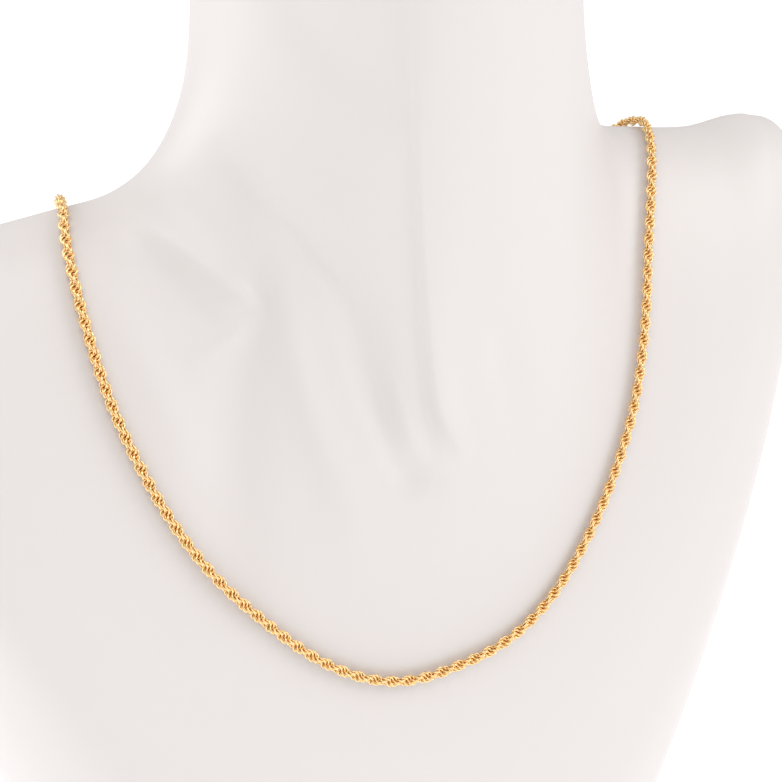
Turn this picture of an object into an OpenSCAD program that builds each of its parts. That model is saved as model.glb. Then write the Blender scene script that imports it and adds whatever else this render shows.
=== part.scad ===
// Rope chain necklace on a neck bust.
// The bust stands on its flat foot with its front towards -Y, and the
// chain is one closed loop that rests on the bust and closes at the nape
// with a plain barrel clasp. Millimetres, +Z up, origin in the middle of
// the foot.

/* [Bust] */
// height from the foot to the top of the neck
bust_h = 347; // [300:1:400]
// height of the shoulder line above the foot
shoulder_h = 238; // [200:1:260]
// width across the shoulders
shoulder_w = 248; // [210:1:290]
// depth of the chest, front to back
body_d = 135; // [110:1:160]
// width of the foot
foot_w = 168; // [130:1:200]
// depth of the foot, front to back
foot_d = 100; // [80:1:120]
// rounding of the foot's edge
foot_r = 2; // [1:0.5:4]

/* [Neck] */
// width of the neck at its top
neck_w = 88; // [74:1:104]
// depth of the neck at its top, front to back
neck_d = 90; // [74:1:100]
// how far the neck stands in front of the chest's middle
neck_ahead = 8; // [0:1:14]
// how far the top of the neck leans to the side
neck_lean = 11; // [0:1:16]
// rounding of the rim at the top of the neck
rim_r = 3; // [1:0.5:6]
// height of the relief of the throat and collar bones
relief_h = 1.4; // [0.5:0.1:2]

/* [Chain] */
// outer diameter of the rope chain
rope_d = 2.7; // [1.8:0.1:3.2]
// space left between the chain or clasp and the bust
seat_gap = 0.3; // [0.2:0.05:0.6]

/* [Clasp] */
// length of the barrel clasp, from rope end to rope end
clasp_l = 11; // [8:0.5:14]
// thickness of the clasp at its middle
clasp_d = 4.2; // [3.6:0.1:5]
// thickness of the clasp's flat ends
clasp_end_d = 3.2; // [3.2:0.1:3.6]

/* [Hidden] */

WHITE = [0.93, 0.92, 0.90];
GOLD = [0.90, 0.72, 0.36];

// fore and aft places of the neck, the chest and the foot
crest_y = -neck_ahead - 3;
neck_front = -neck_ahead - neck_d / 2;
neck_back = -neck_ahead + neck_d / 2;
body_front = -body_d / 2;
body_back = body_d / 2;
foot_front = -foot_d / 2;
foot_back = foot_d / 2;

// Rows that go round the bust from the top of the neck to the shoulder
// ends. Like a necklace, each hangs lower in front than at its sides.
// wide:  half width, 0 the neck's and 1 the shoulders'
// drop:  side height, 0 the neck's top and 1 the shoulder line
// fore:  front, 0 the neck's and 1 the chest's
// fz:    height in front, as a share of bust_h
// aft:   back, 0 the neck's and 1 the chest's
// bz:    height at the back, as a share of bust_h
// lean:  share of neck_lean
// sq:    squareness, 2 an ellipse and more a squarer oval
// [wide, drop, fore, fz,    aft,  bz,    lean, sq]
UPPER = [
    [0.00,  0.00,  0.00, 1.000, 0.00, 1.000, 0.85, 2.00], // neck top
    [0.00,  0.32,  0.00, 0.885, 0.00, 0.900, 0.90, 2.00],
    [0.01,  0.56,  0.05, 0.770, 0.00, 0.800, 0.91, 2.00], // mid neck
    [0.05,  0.72,  0.20, 0.645, 0.00, 0.715, 0.86, 2.05],
    [0.125, 0.845, 0.33, 0.540, 0.10, 0.650, 0.68, 2.15], // neck root
    [0.23,  0.915, 0.47, 0.455, 0.25, 0.590, 0.42, 2.30],
    [0.40,  0.937, 0.70, 0.386, 0.45, 0.530, 0.26, 2.40], // chain line
    [0.63,  0.955, 0.93, 0.317, 0.65, 0.460, 0.16, 2.45],
    [0.86,  0.945, 1.00, 0.250, 0.85, 0.380, 0.06, 2.35],
    [1.00,  1.040, 1.00, 0.180, 1.00, 0.290, 0.00, 2.20]  // shoulder end
];
// Rows below the shoulders, down to the foot.
// wide, fore and aft: 0 the foot's and 1 the chest's
// side:  side height, as a share of shoulder_h
// [wide, side,  fore, fz,    aft,  bz,    sq]
LOWER = [
    [0.84, 0.765, 0.84, 0.118, 1.00, 0.200, 2.16],
    [0.54, 0.520, 0.60, 0.062, 0.86, 0.115, 2.16],
    [0.25, 0.295, 0.29, 0.025, 0.50, 0.050, 2.18],
    [0.00, 0.000, 0.00, 0.000, 0.00, 0.000, 2.20]       // foot
];

function mix(a, b, t) = a + (b - a) * t;

// a row in millimetres:
// [half width, side y, side z, front y, front z, back y, back z, sq, lean]
ROWS = concat(
    [for (r = UPPER) [
        mix(neck_w, shoulder_w, r[0]) / 2, crest_y,
        mix(bust_h, shoulder_h, r[1]),
        mix(neck_front, body_front, r[2]), r[3] * bust_h,
        mix(neck_back, body_back, r[4]), r[5] * bust_h,
        r[7], r[6] * neck_lean]],
    [for (r = LOWER) [
        mix(foot_w, shoulder_w, r[0]) / 2, crest_y * r[1],
        r[1] * shoulder_h,
        mix(foot_front, body_front, r[2]), r[3] * bust_h,
        mix(foot_back, body_back, r[4]), r[5] * bust_h,
        r[6], 0]]);
LAST = len(ROWS) - 1;

// smooth curve through a list of rows or points, at the place t
function through(list, t) =
    let (n = len(list) - 1, i = min(max(floor(t), 0), n - 1), f = t - i,
         b = list[i], c = list[i + 1],
         a = i > 0 ? list[i - 1] : 2 * b - c,
         d = i < n - 1 ? list[i + 2] : 2 * c - b)
    (2 * b + (c - a) * f + (2 * a - 5 * b + 4 * c - d) * pow(f, 2)
     + (3 * b - a - 3 * c + d) * pow(f, 3)) / 2;

// how the rows fall away from the shoulders: 1 at once, more gently
FRONT_FALL = 2;
BACK_FALL = 1.15;
// point of the plain bust at the angle u (0 front, 90 the +X side) of a row
function on_row(u, r) =
    let (c = cos(u), s = sin(u), p = 2 / r[7],
         ye = c > 0 ? r[3] : r[5],
         dz = c > 0 ? (r[4] - r[2]) * pow(c, FRONT_FALL)
                    : (r[6] - r[2]) * pow(-c, BACK_FALL))
    [r[8] + r[0] * sign(s) * pow(abs(s), p),
     r[1] + (ye - r[1]) * pow(abs(c), p), r[2] + dz];
function skin(u, v) = on_row(u, through(ROWS, v));
function unit(a) = a / norm(a);
function outward(u, v) =
    unit(cross(skin(u, v + 0.02) - skin(u, v - 0.02),
               skin(u + 0.5, v) - skin(u - 0.5, v)));

// Relief of the throat: soft ridges (height above 0) and hollows, each
// along a line seen from the front. x is a share of half the neck's
// width, z a share of bust_h, wide a share of neck_w, high of relief_h.
// [from x, z,    to x,  z,     wide,  high]
RELIEF = [
    [-0.05, 0.73, -0.03, 0.56, 0.030, -0.9], // crease beside the tendon
    [ 0.06, 0.76,  0.12, 0.55, 0.045,  0.9], // middle tendon
    [-0.66, 0.70, -0.22, 0.56, 0.030, -0.6], // groove to the throat
    [-0.58, 0.69, -0.24, 0.58, 0.030,  0.6], // fine tendon
    [-0.72, 0.67, -0.50, 0.53, 0.045,  0.8], // outer tendon
    [-0.16, 0.53, -0.14, 0.53, 0.060, -1.0], // notch of the throat
    [ 0.34, 0.63,  0.34, 0.59, 0.080, -0.6], // hollow beside the throat
    [-1.00, 0.64, -0.94, 0.54, 0.090, -1.0], // long hollow
    [-1.20, 0.69, -1.14, 0.65, 0.080, -1.2]  // hollow of the collar bone
];
function to_line(p, a, b) =
    let (d = b - a, t = min(1, max(0, (p - a) * d / max(d * d, 0.01))))
    norm(p - a - t * d);
// the relief's height at a point, faded out round the sides
function relief(p, u) =
    let (front = max(0, cos(u)),
         hw = neck_w / 2,
         parts = [for (k = RELIEF)
             k[5] * exp(-pow(to_line([p[0], p[2]],
                 [k[0] * hw, k[1] * bust_h],
                 [k[2] * hw, k[3] * bust_h]) / (k[4] * neck_w), 2))])
    relief_h * (parts * [for (k = RELIEF) 1]) * min(1, 3 * front);
function modelled(u, v) = let (p = skin(u, v))
    p + relief(p, u) * outward(u, v);

// columns close up towards the front by up to FORWARD degrees, and rows
// close up at the neck root
COLS = 64;
FORWARD = 22;
ANG = [for (j = [0 : COLS - 1]) let (t = j * 360 / COLS)
    t - FORWARD * sin(t)];
STEPS = concat([for (v = [0 : 0.5 : 3]) v],
               [for (v = [3.25 : 0.25 : 8]) v],
               [for (v = [8.3 : 0.35 : 10.4]) v],
               [for (v = [10.8 : 0.4 : 12.8]) v]);

function ring(v) = [for (u = ANG) modelled(u, v)];
// a level ring drawn in by inset, at the height z
function level(v, inset, z) = let (r = through(ROWS, v))
    [for (u = ANG) let (p = on_row(u, r))
        [r[8] + (p[0] - r[8]) * (1 - inset / r[0]),
         r[1] + (p[1] - r[1]) * (1 - inset / (r[1] - r[3])), z]];

BUST = concat(
    [for (a = [0 : 22.5 : 67.5])
        level(0, rim_r * (1 - sin(a)), bust_h - rim_r * (1 - cos(a)))],
    [for (v = [0.2, 0.35]) ring(v)],
    [for (v = STEPS) if (v >= 0.5) ring(v)],
    [for (a = [0 : 30 : 90])
        level(LAST, foot_r * (1 - cos(a)), foot_r * (1 - sin(a)))]);

// closed skin over rings of equal count, flat at both ends
module skinned(rings) {
    n = len(rings[0]);
    m = len(rings);
    polyhedron(
        points = [for (g = rings) for (p = g) p],
        faces = concat(
            [[for (j = [0 : n - 1]) j]],
            [[for (j = [n - 1 : -1 : 0]) (m - 1) * n + j]],
            [for (i = [0 : m - 2]) for (j = [0 : n - 1])
                let (k = (j + 1) % n, a = i * n + j, b = i * n + k)
                each [[a, a + n, b], [b, a + n, b + n]]]),
        convexity = 6);
}

module neck_bust() {
    color(WHITE) skinned([for (i = [len(BUST) - 1 : -1 : 0]) BUST[i]]);
}

// Route of the chain on the bust, from the +X side of the nape round the
// front to the other side of the nape: [angle, row]. It follows the bust,
// so these few points stay as chosen.
ROUTE = [
    [167, 4.15], [148, 4.3], [130, 4.65], [115, 5.3], [105, 5.75],
    [97, 6], [90, 6.05], [84, 5.9], [76, 5.7], [68, 5.55],
    [60, 5.5], [51, 5.6], [42, 5.7], [33, 5.7], [23, 5.7],
    [12, 5.75], [1, 5.85], [-9, 6], [-20, 6.15], [-31, 6.3],
    [-40, 6.45], [-48, 6.5], [-57, 6.45], [-66, 6.3], [-78, 6.05],
    [-88, 5.82], [-98, 5.65], [-107, 5.4], [-116, 5.1], [-130, 4.65],
    [-148, 4.3], [-167, 4.15]
];
NAPE_ROW = 4.15;
RINGS = 76;

// height of the chain's middle above the skin, raised beside the clasp
// between these two angles from the front
RISE_FROM = 152;
RISE_TO = 170;
rope_seat = rope_d / 2 + seat_gap;
clasp_seat = max(clasp_d, rope_d) / 2 + seat_gap;
function raised(u) = let (t = min(1, max(0, (abs(u) - RISE_FROM)
        / (RISE_TO - RISE_FROM))))
    mix(rope_seat, clasp_seat, t * t * (3 - 2 * t));
function seat(a) = skin(a[0], a[1]) + raised(a[0]) * outward(a[0], a[1]);

// the clasp lies level across the nape
CLASP_AT = skin(180, NAPE_ROW) + clasp_seat * outward(180, NAPE_ROW);

LAID = [for (i = [0 : RINGS])
    through(ROUTE, i * (len(ROUTE) - 1) / RINGS)];
PATH = concat(
    [CLASP_AT + [clasp_l / 2, 0, 0]],
    [for (a = LAID) seat(a)],
    [CLASP_AT - [clasp_l / 2, 0, 0]]);
UPS = concat([outward(180, NAPE_ROW)],
    [for (a = LAID) outward(a[0], a[1])],
    [outward(180, NAPE_ROW)]);

SIDES = 8;
module rope_chain() {
    n = len(PATH) - 1;
    color(GOLD) skinned([for (i = [0 : n])
        let (t = i == 0 || i == n ? [i == 0 ? 1 : -1, 0, 0]
                 : unit(PATH[i + 1] - PATH[i - 1]),
             w = unit(cross(t, UPS[i])), h = cross(w, t))
        [for (k = [0 : SIDES - 1]) let (a = (k + 0.5) * 360 / SIDES)
            PATH[i] + rope_d / 2 * (cos(a) * w - sin(a) * h)]]);
}

// barrel clasp: a round body that tapers to flat ends
module clasp() {
    end_r = clasp_end_d / 2;
    bulge = (clasp_d - clasp_end_d) / 2;
    color(GOLD) translate(CLASP_AT) rotate([0, 90, 0])
        rotate_extrude($fn = 48) polygon(concat(
            [[0, -clasp_l / 2]],
            [for (a = [-90 : 22.5 : 90])
                [end_r + bulge * cos(a), clasp_l / 2 * sin(a)]],
            [[0, clasp_l / 2]]));
}

neck_bust();
rope_chain();
clasp();
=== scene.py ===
"""Looks of a rope chain necklace that lies on a white neck bust."""

import math

import bpy
import numpy as np
from mathutils import Matrix, Vector


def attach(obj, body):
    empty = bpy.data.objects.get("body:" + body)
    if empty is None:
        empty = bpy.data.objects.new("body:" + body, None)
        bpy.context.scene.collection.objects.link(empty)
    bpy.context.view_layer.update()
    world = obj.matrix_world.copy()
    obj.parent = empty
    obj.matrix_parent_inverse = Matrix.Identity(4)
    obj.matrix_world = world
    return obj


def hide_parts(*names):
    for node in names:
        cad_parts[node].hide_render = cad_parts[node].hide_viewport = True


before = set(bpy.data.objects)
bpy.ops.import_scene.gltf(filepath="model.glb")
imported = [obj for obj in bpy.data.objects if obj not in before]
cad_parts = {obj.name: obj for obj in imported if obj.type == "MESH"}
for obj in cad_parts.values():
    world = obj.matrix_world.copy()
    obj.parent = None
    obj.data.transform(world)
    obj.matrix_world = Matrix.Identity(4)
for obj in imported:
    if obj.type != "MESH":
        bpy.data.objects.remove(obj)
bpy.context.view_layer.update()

scene = bpy.context.scene

# ---------------------------------------------------------------- camera
# Stands before the bust's right shoulder, as high as the top of the neck,
# and looks down at the throat, inside the bow of the chain.
CAMERA_AT = (-0.1374, -0.3275, 0.3414)
CAMERA_TURN, CAMERA_TILT, CAMERA_ROLL = 24.752, -24.155, 1.2
CAMERA_LENS, CAMERA_SENSOR = 69.05, 36.0
CAMERA_NEAR, CAMERA_FAR = 0.01, 50.0

lens = bpy.data.cameras.new("camera")
lens.lens, lens.sensor_width = CAMERA_LENS, CAMERA_SENSOR
lens.clip_start, lens.clip_end = CAMERA_NEAR, CAMERA_FAR
camera = bpy.data.objects.new("camera", lens)
scene.collection.objects.link(camera)
camera.matrix_world = (
    Matrix.Translation(CAMERA_AT)
    @ Matrix.Rotation(-math.radians(CAMERA_TURN), 4, "Z")
    @ Matrix.Rotation(math.radians(90 + CAMERA_TILT), 4, "X")
    @ Matrix.Rotation(-math.radians(CAMERA_ROLL), 4, "Z")
)
scene.camera = camera

# ----------------------------------------------------------------- floor
# A plain white table top, wide enough to fill the view behind the bust.
# It glows a little, as an over-lit studio table does.
FLOOR_SIZE, FLOOR_LINES = 12.0, 9
FLOOR_BELOW = 0.0004  # under the foot, so that the two faces aren't in one plane
FLOOR_WHITE, FLOOR_GREY = (0.97, 0.97, 0.975, 1), (0.94, 0.94, 0.945, 1)
FLOOR_MOTTLE, FLOOR_ROUGHNESS = 0.2, 0.6
FLOOR_GLOW, FLOOR_GLOW_COLOUR = 0.38, (0.97, 0.985, 1.0, 1)


class Socket:
    """One output of a node; arithmetic on it adds the matching Math node."""

    def __init__(self, tree, output):
        self.tree, self.output = tree, output

    def _math(self, operation, other):
        return add_node(self.tree, "ShaderNodeMath", {"operation": operation}, self, other)

    def __add__(self, other):
        return self._math("ADD", other)

    def __mul__(self, other):
        return self._math("MULTIPLY", other)

    __radd__, __rmul__ = __add__, __mul__


def feed(tree, inlet, value):
    """Links a Socket to a node's input, or sets the input to a plain value."""
    if isinstance(value, Socket):
        tree.links.new(value.output, inlet)
    else:
        inlet.default_value = value


def add_node(tree, kind, settings=None, *values, out=0, **named):
    """Adds a node: its settings first, then its inputs by order or by name.
    Gives its output of the number or name out."""
    node = tree.nodes.new(kind)
    for name, value in (settings or {}).items():
        setattr(node, name, value)
    for place, value in enumerate(values):
        feed(tree, node.inputs[place], value)
    for name, value in named.items():
        feed(tree, node.inputs[name.replace("_", " ")], value)
    return Socket(tree, node.outputs[out])


def mix_colours(tree, share, first, second):
    """Mix node from the first colour, at a share of 0, to the second. Its
    colour sockets are the inputs 6 and 7 and the output 2."""
    mixed = add_node(tree, "ShaderNodeMix", {"data_type": "RGBA"}, share, out=2)
    for place, colour in ((6, first), (7, second)):
        feed(tree, mixed.output.node.inputs[place], colour)
    return mixed


def noise(tree, scale, detail):
    """Noise over the piece's own place in metres, its Object coordinates."""
    spot = add_node(tree, "ShaderNodeTexCoord", out="Object")
    return add_node(tree, "ShaderNodeTexNoise", None, spot, Scale=scale, Detail=detail)


def new_material(name):
    """A material without nodes: gives it and its node tree."""
    material = bpy.data.materials.new(name)
    material.use_nodes = True
    material.node_tree.nodes.clear()
    return material, material.node_tree


def coat_with(tree, colour, **looks):
    """Ends a material with a Principled shader of that colour and looks."""
    shader = add_node(tree, "ShaderNodeBsdfPrincipled", None, colour, **looks)
    end = tree.nodes.new("ShaderNodeOutputMaterial")
    tree.links.new(shader.output, end.inputs[0])


def grid_faces(rows, columns, round_rows=False, round_columns=False):
    """Quads of a grid of points that are numbered row after row. Where the
    grid is round, its last row or column joins the first."""
    i, j = np.meshgrid(
        np.arange(rows if round_rows else rows - 1),
        np.arange(columns if round_columns else columns - 1),
        indexing="ij",
    )
    next_i, next_j = (i + 1) % rows, (j + 1) % columns
    corners = [(i, j), (next_i, j), (next_i, next_j), (i, next_j)]
    return np.stack([a * columns + b for a, b in corners], -1).reshape(-1, 4)


def make_piece(name, points, faces, material):
    """Puts points and lists of faces, quads or triangles, into a new smooth
    mesh object of that material."""
    sizes = np.concatenate([np.full(len(f), f.shape[1]) for f in faces])
    corners = np.concatenate([f.ravel() for f in faces]).astype(np.int32)
    mesh = bpy.data.meshes.new(name)
    mesh.vertices.add(len(points))
    mesh.vertices.foreach_set("co", np.asarray(points, np.float32).ravel())
    mesh.loops.add(len(corners))
    mesh.loops.foreach_set("vertex_index", corners)
    mesh.polygons.add(len(sizes))
    mesh.polygons.foreach_set("loop_start", (np.cumsum(sizes) - sizes).astype(np.int32))
    mesh.polygons.foreach_set("use_smooth", np.full(len(sizes), True))
    mesh.update(calc_edges=True)
    mesh.validate()
    mesh.materials.append(material)
    piece = bpy.data.objects.new(name, mesh)
    scene.collection.objects.link(piece)
    return piece


white_table, tree = new_material("white_table")
mottle = noise(tree, scale=3.0, detail=2.0)
coat_with(
    tree, mix_colours(tree, mottle * FLOOR_MOTTLE, FLOOR_WHITE, FLOOR_GREY),
    Roughness=FLOOR_ROUGHNESS,
    Emission_Color=FLOOR_GLOW_COLOUR, Emission_Strength=FLOOR_GLOW,
)

lines = np.linspace(-FLOOR_SIZE / 2, FLOOR_SIZE / 2, FLOOR_LINES)
x, y = np.meshgrid(lines, lines, indexing="ij")
floor_points = np.stack([x, y, -FLOOR_BELOW + 0 * x], -1).reshape(-1, 3)
floor = make_piece("floor", floor_points, [grid_faces(FLOOR_LINES, FLOOR_LINES)], white_table)

# ---------------------------------------------------------- studio light
# A white room with a large soft box at each side, which brighten the sides
# of the neck, and a third above the camera for the chest and the gold.
ROOM_WHITE, ROOM_STRENGTH = (1.0, 1.0, 1.0, 1), 0.67
# name, place, what it looks at, size, power in watts, colour
LIGHTS = [
    ("right_box", (1.05, -0.65, 0.85), (0.0, -0.02, 0.2), 0.8, 4.9, (1.0, 0.99, 0.975)),
    ("left_box", (-1.10, 0.60, 0.75), (0.0, -0.02, 0.25), 1.0, 6.2, (1.0, 1.0, 1.0)),
    ("top_box", (-0.30, -0.50, 1.20), (0.0, -0.03, 0.2), 0.8, 3.4, (1.0, 0.99, 0.98)),
]
scene.view_settings.view_transform = "Standard"
scene.view_settings.look = "None"
room = bpy.data.worlds.new("room")
scene.world = room
room.use_nodes = True
background = room.node_tree.nodes["Background"]
background.inputs[0].default_value = ROOM_WHITE
background.inputs[1].default_value = ROOM_STRENGTH
for name, place, target, size, power, colour in LIGHTS:
    lamp = bpy.data.lights.new(name, "AREA")
    lamp.shape, lamp.size, lamp.energy, lamp.color = "DISK", size, power, colour
    light = bpy.data.objects.new(name, lamp)
    aim = (Vector(target) - Vector(place)).to_track_quat("-Z", "Y")
    light.matrix_world = Matrix.Translation(place) @ aim.to_matrix().to_4x4()
    scene.collection.objects.link(light)

# ------------------------------------------------------------- neck bust
# A hollow display bust of cast resin with a glossy off-white lacquer. It
# is one moulding with a flat foot and a flat neck top with a rounded rim,
# and the throat's tendons and hollows are modelled faintly in front.
MM = 0.001
BUST_H, SHOULDER_H, SHOULDER_W, BODY_D = 347, 238, 248, 135
FOOT_W, FOOT_D, FOOT_R = 168, 100, 2
NECK_W, NECK_D, NECK_AHEAD, NECK_LEAN, RIM_R = 88, 90, 8, 11, 3
SIDES_AHEAD = 3  # the shoulders' line lies that far before the neck's middle
# how fast the height falls from the sides towards the front and the back
FRONT_FALL, BACK_FALL = 2.0, 1.15
# Rows round the bust, from the neck's top to the shoulder ends, as in the
# solid: half width, side drop, front place, front height, back place, back
# height, lean, squareness, as shares of the sizes above.
UPPER = np.array([
    [0.00, 0.00, 0.00, 1.000, 0.00, 1.000, 0.85, 2.00],
    [0.00, 0.32, 0.00, 0.885, 0.00, 0.900, 0.90, 2.00],
    [0.01, 0.56, 0.05, 0.770, 0.00, 0.800, 0.91, 2.00],
    [0.05, 0.72, 0.20, 0.645, 0.00, 0.715, 0.86, 2.05],
    [0.125, 0.845, 0.33, 0.540, 0.10, 0.650, 0.68, 2.15],
    [0.23, 0.915, 0.47, 0.455, 0.25, 0.590, 0.42, 2.30],
    [0.40, 0.937, 0.70, 0.386, 0.45, 0.530, 0.26, 2.40],
    [0.63, 0.955, 0.93, 0.317, 0.65, 0.460, 0.16, 2.45],
    [0.86, 0.945, 1.00, 0.250, 0.85, 0.380, 0.06, 2.35],
    [1.00, 1.040, 1.00, 0.180, 1.00, 0.290, 0.00, 2.20],
])
# Rows below the shoulders: half width, side height, front place, front
# height, back place, back height, squareness.
LOWER = np.array([
    [0.84, 0.765, 0.84, 0.118, 1.00, 0.200, 2.16],
    [0.54, 0.520, 0.60, 0.062, 0.86, 0.115, 2.16],
    [0.25, 0.295, 0.29, 0.025, 0.50, 0.050, 2.18],
    [0.00, 0.000, 0.00, 0.000, 0.00, 0.000, 2.20],
])
# Soft ridges and hollows of the throat, each along a curve that runs down
# the front: x, z, width to its -X side, width to its +X side, and height
# above the plain skin in millimetres, before RELIEF_SHARE is applied.
RELIEF = [
    # middle tendon, with a sharp edge on its -X side, and a faint crease
    [
        [-3, 304, 1.2, 13, 0.3], [-2.7, 278, 1.2, 14, 0.5], [-2.8, 262, 1.2, 14, 0.7],
        [-3.1, 244, 1.2, 12, 0.9], [-2.7, 224, 1.3, 8, 1.2], [-2.4, 210, 1.4, 6.5, 1.3],
        [-1.2, 202, 1.5, 5, 1.2], [0.8, 196, 1.6, 4, 1.0], [3.6, 191.5, 1.8, 3, 0.7],
        [6.2, 187, 2, 2.4, 0.0],
    ],
    [
        [-4.4, 222, 1.6, 1.6, 0.0], [-4, 212, 1.6, 1.6, -0.35], [-3.4, 200, 1.7, 1.7, -0.5],
        [-2.2, 189, 1.8, 1.8, -0.2],
    ],
    # groove that runs down to the notch, with a fine tendon on each side
    [
        [-39, 261, 3, 3, 0.0], [-34, 252, 4.5, 4.5, -0.8], [-30, 246, 4.6, 4.6, -1.3],
        [-26, 239.5, 4.2, 5, -1.4], [-21.5, 232, 3.8, 5.4, -1.7], [-18, 223, 3.6, 5.6, -2.1],
        [-15.7, 212, 3.4, 5.2, -2.3], [-13.6, 201, 3.2, 4.6, -1.9],
        [-11.3, 192, 2.8, 3.4, -0.9], [-9.6, 186, 2.6, 3, -0.3],
    ],
    [
        [-31, 243, 1.5, 1.5, 0.0], [-27.5, 238, 1.6, 1.6, 0.35], [-23.6, 231.5, 1.7, 1.7, 0.45],
        [-20.2, 225, 1.7, 1.7, 0.4], [-18.6, 217, 1.6, 1.6, 0.2], [-17.6, 209, 1.5, 1.5, 0.0],
    ],
    [
        [-12.6, 213, 1.4, 1.4, 0.0], [-10.2, 205, 1.4, 1.4, 0.4], [-8.5, 197, 1.4, 1.4, 0.4],
        [-7.4, 191, 1.4, 1.4, 0.0],
    ],
    # notch of the throat
    [[-12, 189, 3, 3, -0.5], [-7.5, 185.5, 4, 4, -1.1], [-3, 183, 3, 3, -0.4]],
    # long hollow at the side, and the broad tendon in front of it
    [
        [-34, 256, 4, 4, 0.0], [-34.8, 247, 4, 4, -0.9], [-34.9, 236, 3.6, 3.6, -1.1],
        [-36, 226, 3.4, 3.4, -1.0], [-39, 219, 4.5, 4.5, -1.0], [-42.5, 212, 6, 6, -1.2],
        [-45.5, 203, 7.5, 7, -1.4], [-47.5, 193, 8, 7.5, -1.4], [-48.5, 182, 9, 8, -1.1],
        [-49.5, 170, 9, 9, -0.5], [-51, 158, 9, 9, 0.0],
    ],
    [
        [-30.5, 234, 3, 3, 0.0], [-30.5, 224, 3.4, 3.4, 0.7], [-30.2, 215, 3.6, 3.6, 0.9],
        [-28.5, 203, 4, 4.5, 1.0], [-25.5, 192, 4.6, 5, 0.9], [-22.8, 182, 5.5, 6, 0.7],
        [-21, 172, 6.5, 7, 0.3], [-20, 162, 8, 8, 0.0],
    ],
    # edge of the shoulder muscle, hollow above the collar bone, its end
    [
        [-64, 249, 4, 4, 0.0], [-57.5, 246, 4, 4.2, 0.8], [-51.8, 240.5, 3.4, 4.4, 1.1],
        [-44.6, 234, 2.4, 3.6, 1.1], [-38.6, 228.6, 1.5, 2.2, 0.8], [-35.4, 226, 1.2, 1.4, 0.0],
    ],
    [[-60, 239, 5, 5, -0.4], [-55, 233, 5.5, 5.5, -1.0], [-49, 226, 5, 5, -0.8]],
    [
        [-36.6, 224.8, 1.4, 1.6, 0.2], [-41, 222, 1.8, 2.2, 0.6], [-46.5, 219.5, 2.0, 2.6, 0.5],
        [-53, 216.5, 2.2, 3, 0.0],
    ],
    [[-66, 232, 4, 4, 0.2], [-61, 214, 4.5, 4.5, 0.5], [-56.5, 199, 5, 5, 0.3]],
    # faint hollow on the other side, and the hollows under the chin
    [
        [14, 218, 4, 5, -0.2], [15.5, 210, 4.5, 6, -0.7], [17, 202, 4.5, 6, -0.6],
        [20, 190, 5, 6, -0.2],
    ],
    [
        [-30, 304, 6, 8, -0.9], [-24, 290, 5, 8, -1.0], [-17, 277, 5, 8, -1.0],
        [-10, 268, 5, 6, -0.5], [-6, 262, 5, 5, 0.0],
    ],
    [
        [-8, 304, 7, 4, -0.8], [-7, 290, 7, 4, -0.8], [-6.5, 276, 6, 3.5, -0.6],
        [-6, 262, 5, 3, 0.0],
    ],
]
RELIEF_SHARE, RELIEF_PARTS, SIDE_FADE = 1.35, 4, 3
# the mesh has columns, which close up towards the front by up to FORWARD
# degrees, and rings: from row, to row, how many, closest over the throat
COLUMNS, FORWARD = 320, 22
BANDS = [(0.12, 3, 49), (3, 8, 179), (8, 12.9, 49)]
# angles of the rings on the rounded rim and on the foot's rounded edge, and
# how far in from there the rings of the flat lid and sole lie
RIM_ARC, FOOT_ARC = np.radians(np.linspace(0, 80, 9)), np.radians(np.linspace(0, 90, 8))
LID_INSETS, SOLE_INSETS = (36, 24, 12, 4), (4, 16, 30, 44)
LACQUER_DARK, LACQUER_LIGHT = (0.716, 0.670, 0.653, 1), (0.730, 0.690, 0.676, 1)
LACQUER_ROUGHNESS, LACQUER_CHANGE = 0.42, 0.08
LACQUER_COAT, COAT_ROUGHNESS = 0.1, 0.3
RIPPLE, RIPPLE_DEPTH = 0.05, 0.0002


def mix(a, b, t):
    """Straight blend from a, at t 0, to b, at t 1."""
    return a + (b - a) * t


def bust_rows():
    """The rows in millimetres: half width, side y, side z, front y, front
    z, back y, back z, squareness, lean. Each is a share turned into a size."""
    sides = -NECK_AHEAD - SIDES_AHEAD
    front, back = -NECK_AHEAD - NECK_D / 2, -NECK_AHEAD + NECK_D / 2
    u, w = UPPER.T, LOWER.T
    top = [
        mix(NECK_W, SHOULDER_W, u[0]) / 2, np.full(len(UPPER), sides),
        mix(BUST_H, SHOULDER_H, u[1]), mix(front, -BODY_D / 2, u[2]), u[3] * BUST_H,
        mix(back, BODY_D / 2, u[4]), u[5] * BUST_H, u[7], u[6] * NECK_LEAN,
    ]
    low = [
        mix(FOOT_W, SHOULDER_W, w[0]) / 2, sides * w[1], SHOULDER_H * w[1],
        mix(-FOOT_D, -BODY_D, w[2]) / 2, w[3] * BUST_H,
        mix(FOOT_D, BODY_D, w[4]) / 2, w[5] * BUST_H, w[6], 0 * w[0],
    ]
    return np.concatenate([np.array(top).T, np.array(low).T])


ROWS = bust_rows()
LAST = len(ROWS) - 1


def through(table, t):
    """Smooth curve through the table's rows at the places t: between two
    rows b and c with neighbours a and d, the cubic that leaves b along c-a
    and meets c along d-b. Past the ends the rows go on in a straight line."""
    t = np.asarray(t, float)
    i = np.clip(np.floor(t).astype(int), 0, len(table) - 2)
    f = (t - i)[..., None]
    ends = [2 * table[:1] - table[1:2], table, 2 * table[-1:] - table[-2:-1]]
    a, b, c, d = (np.concatenate(ends)[i + k] for k in range(4))
    square, cube = 2 * a - 5 * b + 4 * c - d, 3 * b - a - 3 * c + d
    return b + f / 2 * ((c - a) + f * (square + f * cube))


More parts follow.
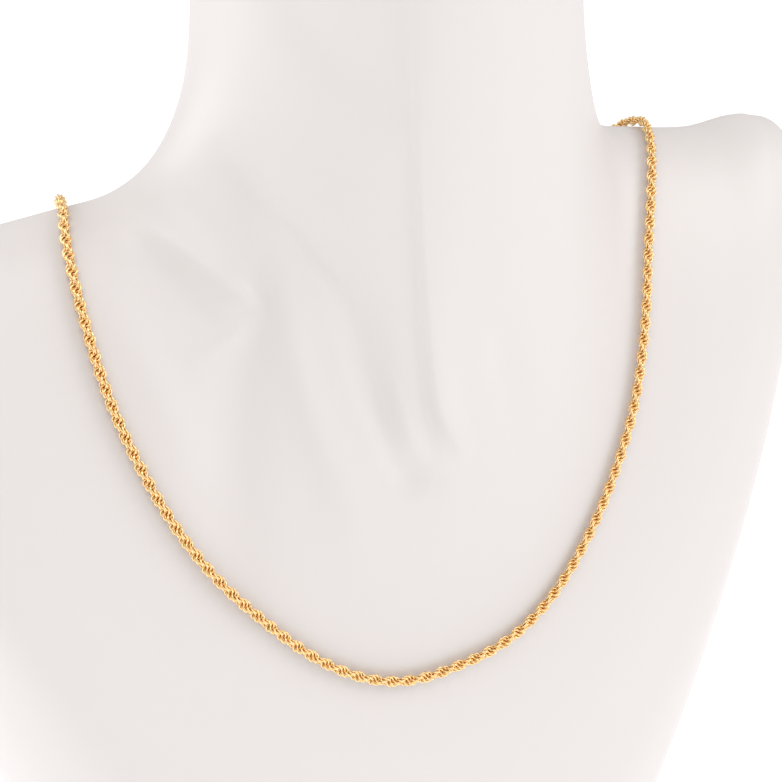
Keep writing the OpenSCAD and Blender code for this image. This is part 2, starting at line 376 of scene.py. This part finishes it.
def plain_skin(angle, rows):
    """Point at an angle (0 front, 90 the +X side) of rows: across, a
    superellipse with the row's squareness about its lean; in height, from
    the side's to the front's or the back's by a power of the cosine."""
    c, s = np.cos(np.radians(angle)), np.sin(np.radians(angle))
    half, side_y, side_z, fy, fz, by, bz, square, lean = np.moveaxis(rows, -1, 0)
    p = 2 / square
    ahead = c > 0
    x = lean + half * np.sign(s) * np.abs(s) ** p
    y = side_y + (np.where(ahead, fy, by) - side_y) * np.abs(c) ** p
    fall = np.abs(c) ** np.where(ahead, FRONT_FALL, BACK_FALL)
    return np.stack([x, y, side_z + (np.where(ahead, fz, bz) - side_z) * fall], -1)


def skin(angle, row):
    """The plain bust's surface of two parameters, angle and row."""
    return plain_skin(angle, through(ROWS, row))


def unit(v):
    """Vectors divided by their lengths."""
    return v / np.linalg.norm(v, axis=-1, keepdims=True)


def outward(angle, row, angle_step=0.5, row_step=0.02):
    """Unit normal of the plain bust: the cross product of a short step
    down the rows and a short step round the angle."""
    down = skin(angle, row + row_step) - skin(angle, row - row_step)
    return unit(np.cross(down, skin(angle + angle_step, row) - skin(angle - angle_step, row)))


def relief(points, angle):
    """Height of the relief: RELIEF_SHARE of the sum over its curves, each
    in RELIEF_PARTS straight parts from knot to knot, of height times
    exp(-(distance to the curve / width on that side) squared). It fades
    out at the bust's sides by SIDE_FADE times the cosine of the angle."""
    total = np.zeros(points.shape[:-1])
    for knots in RELIEF:
        gaps = len(knots) - 1
        line = through(np.array(knots, float), np.linspace(0, gaps, RELIEF_PARTS * gaps + 1))
        nearest, height = np.full(total.shape, np.inf), np.zeros_like(total)
        for start, stop in zip(line[:-1], line[1:]):
            along, q = (stop - start)[:2], points[..., [0, 2]] - start[:2]
            t = np.clip(q @ along / (along @ along), 0, 1)[..., None]
            away = np.linalg.norm(q - t * along, axis=-1)
            minus_side, plus_side, high = np.moveaxis(start[2:] + t * (stop - start)[2:], -1, 0)
            on_plus_side = along[0] * q[..., 1] > along[1] * q[..., 0]
            wide = np.where(on_plus_side, plus_side, minus_side)
            height = np.where(away < nearest, high * np.exp(-((away / wide) ** 2)), height)
            nearest = np.minimum(away, nearest)
        total += height
    return RELIEF_SHARE * total * np.clip(SIDE_FADE * np.cos(np.radians(angle)), 0, 1)


def level_ring(angle, row, inset, height):
    """A row laid flat at a height and drawn in for the edges: across and
    ahead it shrinks about its middle by the inset's share of its half
    width and of its reach to the front."""
    r = through(ROWS, row)
    p = plain_skin(angle, np.broadcast_to(r, angle.shape + r.shape))
    half, side_y, front_y, lean = r[[0, 1, 3, 8]]
    x = lean + (p[:, 0] - lean) * (1 - inset / half)
    y = side_y + (p[:, 1] - side_y) * (1 - inset / (side_y - front_y))
    return np.stack([x, y, np.full_like(x, height)], -1)


turn = np.arange(COLUMNS) * 360 / COLUMNS
around = turn - FORWARD * np.sin(np.radians(turn))
bands = [np.linspace(start, stop, count, endpoint=False) for start, stop, count in BANDS]
down = np.concatenate(bands + [[BANDS[-1][1]]])
angle_grid, row_grid = np.meshgrid(around, down, indexing="xy")
body = skin(angle_grid, row_grid)
body = body + relief(body, angle_grid)[..., None] * outward(angle_grid, row_grid)
rings = np.concatenate([
    [level_ring(around, 0, RIM_R + inset, BUST_H) for inset in LID_INSETS],
    [level_ring(around, 0, RIM_R * (1 - math.sin(a)), BUST_H - RIM_R * (1 - math.cos(a)))
     for a in RIM_ARC],
    body,
    [level_ring(around, LAST, FOOT_R * (1 - math.cos(a)), FOOT_R * (1 - math.sin(a)))
     for a in FOOT_ARC],
    [level_ring(around, LAST, FOOT_R + inset, 0.0) for inset in SOLE_INSETS],
])
bust_points = np.concatenate([rings.reshape(-1, 3), rings[:1].mean(1), rings[-1:].mean(1)]) * MM
# each quad starts a corner further on, so that its diagonal, where it is
# cut into triangles, runs across the groove of the throat
bust_quads = np.roll(grid_faces(len(rings), COLUMNS, round_columns=True), -1, axis=1)
# fans from the middle of the lid and of the sole to the innermost rings
lid_middle, sole_middle = len(rings) * COLUMNS, len(rings) * COLUMNS + 1
column, next_column = np.arange(COLUMNS), (np.arange(COLUMNS) + 1) % COLUMNS
lid_fan = np.stack([np.full(COLUMNS, lid_middle), column, next_column], -1)
sole_ring = lid_middle - COLUMNS
sole_fan = np.stack(
    [np.full(COLUMNS, sole_middle), sole_ring + next_column, sole_ring + column], -1,
)

lacquer, tree = new_material("off_white_lacquer")
cloud = noise(tree, scale=9.0, detail=3.0)
ripple = add_node(
    tree, "ShaderNodeBump", Strength=RIPPLE, Distance=RIPPLE_DEPTH,
    Height=noise(tree, scale=260.0, detail=1.0),
)
coat_with(
    tree, mix_colours(tree, cloud, LACQUER_DARK, LACQUER_LIGHT),
    Roughness=cloud * LACQUER_CHANGE + LACQUER_ROUGHNESS,
    Normal=ripple, Coat_Weight=LACQUER_COAT, Coat_Roughness=COAT_ROUGHNESS,
)
bust = make_piece("moulded_bust", bust_points, [bust_quads, lid_fan, sole_fan], lacquer)
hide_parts("neck_bust")
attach(bust, "root")

# ------------------------------------------------------------ rope chain
# Some 1,250 small rings of round gold wire, each linked through the next
# four and turned a little further, so that they wind into two strands.
# Its ends are soldered to the clasp. It lies on the bust in one loop. Its gold is painted darker
# towards the rope's middle, as shade in the groove between the strands.
ROPE_D, SEAT_GAP = 2.7, 0.3
# the clasp between the rope's ends: length, thickness, row at the nape
CLASP_L, CLASP_D, NAPE_ROW = 11.0, 4.2, 4.15
# a ring's radius, its length over its width, its wire's thickness, and the
# step along the rope from ring to ring
RING_R, RING_LONG, WIRE_D, STEP = 0.95, 1.05, 0.46, 0.42
# how a ring stands: set off from the rope's middle as a share of its
# radius, then the turn of its axis and its lean from the rope's
RING_OFF, RING_AZ, RING_POLE = 0.18, 104.0, 76.0
HAND = -1  # the strands wind left-handed
# place along the rope and length of a half twist there, shorter where the
# chain was wound a little tighter
WINDING = np.array([
    [0, 4.0], [110, 4.15], [190, 4.1], [290, 4.35], [345, 3.85], [380, 3.6],
    [410, 3.9], [525, 4.0],
])
# the route on the bust, as in the solid: angle, row
ROUTE = np.array([
    [167, 4.15], [148, 4.3], [130, 4.65], [115, 5.3], [105, 5.75],
    [97, 6], [90, 6.05], [84, 5.9], [76, 5.7], [68, 5.55],
    [60, 5.5], [51, 5.6], [42, 5.7], [33, 5.7], [23, 5.7],
    [12, 5.75], [1, 5.85], [-9, 6], [-20, 6.15], [-31, 6.3],
    [-40, 6.45], [-48, 6.5], [-57, 6.45], [-66, 6.3], [-78, 6.05],
    [-88, 5.82], [-98, 5.65], [-107, 5.4], [-116, 5.1], [-130, 4.65],
    [-148, 4.3], [-167, 4.15],
])
RISE_FROM, RISE_OVER = 152, 18  # degrees over which the rope rises to the clasp
ROUTE_KNOTS, PATH_POINTS = 77, 6001
AIM_REACH = 0.4  # the rope's direction is taken over that far to each side
GOLD_DEEP, GOLD_PALE = (1.0, 0.70, 0.335, 1), (1.0, 0.735, 0.385, 1)
# painted shade: the darker orange-brown that the gold is coloured in the groove between the
# strands, where they shade each other
PAINTED_GROOVE_SHADE = (0.78, 0.39, 0.06, 1)
# shares of the rope's radius: full painted groove shade up to the first, none past the last
FULL_SHADE_TO, NO_SHADE_FROM = 0.12, 0.62
RINGS_ROUGHNESS, RINGS_CHANGE = 0.23, 0.10


def seat(angle, row):
    """Middle of the chain over the skin, raised towards the clasp by the
    smooth step t squared (3 - 2 t)."""
    t = np.clip((np.abs(angle) - RISE_FROM) / RISE_OVER, 0, 1)
    high = mix(ROPE_D / 2, CLASP_D / 2, t * t * (3 - 2 * t)) + SEAT_GAP
    return skin(angle, row) + high[..., None] * outward(angle, row)


nape = np.array([180.0]), np.array([NAPE_ROW])
clasp_at = skin(*nape)[0] + (CLASP_D / 2 + SEAT_GAP) * outward(*nape)[0]
laid = through(ROUTE, np.linspace(0, len(ROUTE) - 1, ROUTE_KNOTS)).T
knots = np.concatenate([
    [clasp_at + [CLASP_L / 2, 0, 0]], seat(*laid), [clasp_at - [CLASP_L / 2, 0, 0]],
])
ups = np.concatenate([outward(*nape), outward(*laid), outward(*nape)])
fine = np.linspace(0, len(knots) - 1, PATH_POINTS)
path, up = through(knots, fine), through(ups, fine)
run = np.concatenate([[0], np.cumsum(np.linalg.norm(np.diff(path, axis=0), axis=1))])


def on_run(values, at):
    """Values given along the path, at distances from its start."""
    return np.stack([np.interp(at, run, values[:, i]) for i in range(3)], -1)


def rope_rings(count, around_ring=13, around_wire=6):
    """Count rings along the path. A ring's middle line is RING_R times
    (cos t u + RING_LONG sin t v), an oval, and its wire a circle round that
    line. Its axis leans RING_POLE from the rope's, and it is set off by
    RING_OFF. Ring k stands in the middle of its own step and is turned k
    half turns plus the twist that the rope has up to it. Gives points,
    quads and how far out each point is as a share of the rope's radius."""
    k = np.arange(count)
    at = (k + 0.5) * run[-1] / count
    middle = on_run(path, at)
    ahead = unit(on_run(path, at + AIM_REACH) - on_run(path, at - AIM_REACH))
    side = unit(np.cross(on_run(up, at), ahead))
    upward = np.cross(ahead, side)

    az, pole = math.radians(RING_AZ), math.radians(RING_POLE)
    lean_x, lean_y = math.sin(pole) * math.cos(az), HAND * math.sin(pole) * math.sin(az)
    axis = np.array([lean_x, lean_y, math.cos(pole)])
    u = unit(np.cross([0, 0, 1], axis))
    v = np.cross(axis, u)
    t = np.arange(around_ring)[:, None, None] * 2 * np.pi / around_ring
    w = np.arange(around_wire)[None, :, None] * 2 * np.pi / around_wire
    out_from_ring = np.cos(t) * u + np.sin(t) * v
    oval = np.cos(t) * u + RING_LONG * np.sin(t) * v
    wire = WIRE_D / 2 * (np.cos(w) * out_from_ring + np.sin(w) * axis)
    ring = RING_R * oval + wire + np.array([RING_OFF * RING_R, 0, 0])

    twist = 180 * run[-1] / count / np.interp(at, WINDING[:, 0], WINDING[:, 1])
    turned = HAND * np.radians(180 * k + np.cumsum(twist))[:, None, None]
    c, s = np.cos(turned), np.sin(turned)
    x = c * ring[..., 0] - s * ring[..., 1]
    y = s * ring[..., 0] + c * ring[..., 1]
    z = ring[..., 2] + 0 * c
    points = (
        middle[:, None, None] + x[..., None] * side[:, None, None]
        + y[..., None] * upward[:, None, None] + z[..., None] * ahead[:, None, None]
    )
    one_ring = grid_faces(around_ring, around_wire, round_rows=True, round_columns=True)
    quads = one_ring + (k * around_ring * around_wire)[:, None, None]
    return points.reshape(-1, 3) * MM, quads.reshape(-1, 4), np.hypot(x, y).ravel() / (ROPE_D / 2)


def gold_tone(tree):
    """Yellow gold: its colour and its polish vary a little with one noise,
    which is given too."""
    melt = noise(tree, scale=900.0, detail=2.0)
    return mix_colours(tree, melt, GOLD_DEEP, GOLD_PALE), melt


ring_gold_and_groove_shade, tree = new_material("ring_gold_and_groove_shade")
warm, melt = gold_tone(tree)
out_share = add_node(tree, "ShaderNodeAttribute", {"attribute_name": "out_share"}, out="Fac")
# painted shade: from the dark groove colour at the rope's middle to the plain gold at its
# outside, by how far out each point is
unshaded_share = add_node(
    tree, "ShaderNodeMapRange", {"interpolation_type": "SMOOTHSTEP"}, out_share,
    From_Min=FULL_SHADE_TO, From_Max=NO_SHADE_FROM,
)
coat_with(
    tree, mix_colours(tree, unshaded_share, PAINTED_GROOVE_SHADE, warm),
    Metallic=1.0, Roughness=melt * RINGS_CHANGE + RINGS_ROUGHNESS,
)

points, quads, from_middle = rope_rings(round(run[-1] / STEP))
chain = make_piece("rope_of_rings", points, [quads], ring_gold_and_groove_shade)
# how far out each point is, which sets the painted groove shade
chain.data.attributes.new("out_share", "FLOAT", "POINT").data.foreach_set("value", from_middle)
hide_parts("rope_chain")
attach(chain, "root")

# ----------------------------------------------------------------- clasp
# A small barrel of the same gold, screwed together at its middle and
# soldered to the two ends of the rope at the nape. It is the solid itself,
# which only gets its material.
BARREL_ROUGHNESS, BARREL_CHANGE = 0.14, 0.08

polished_barrel, tree = new_material("polished_barrel")
warm, melt = gold_tone(tree)
coat_with(tree, warm, Metallic=1.0, Roughness=melt * BARREL_CHANGE + BARREL_ROUGHNESS)
clasp_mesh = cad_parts["clasp"].data
clasp_mesh.materials.clear()
clasp_mesh.materials.append(polished_barrel)
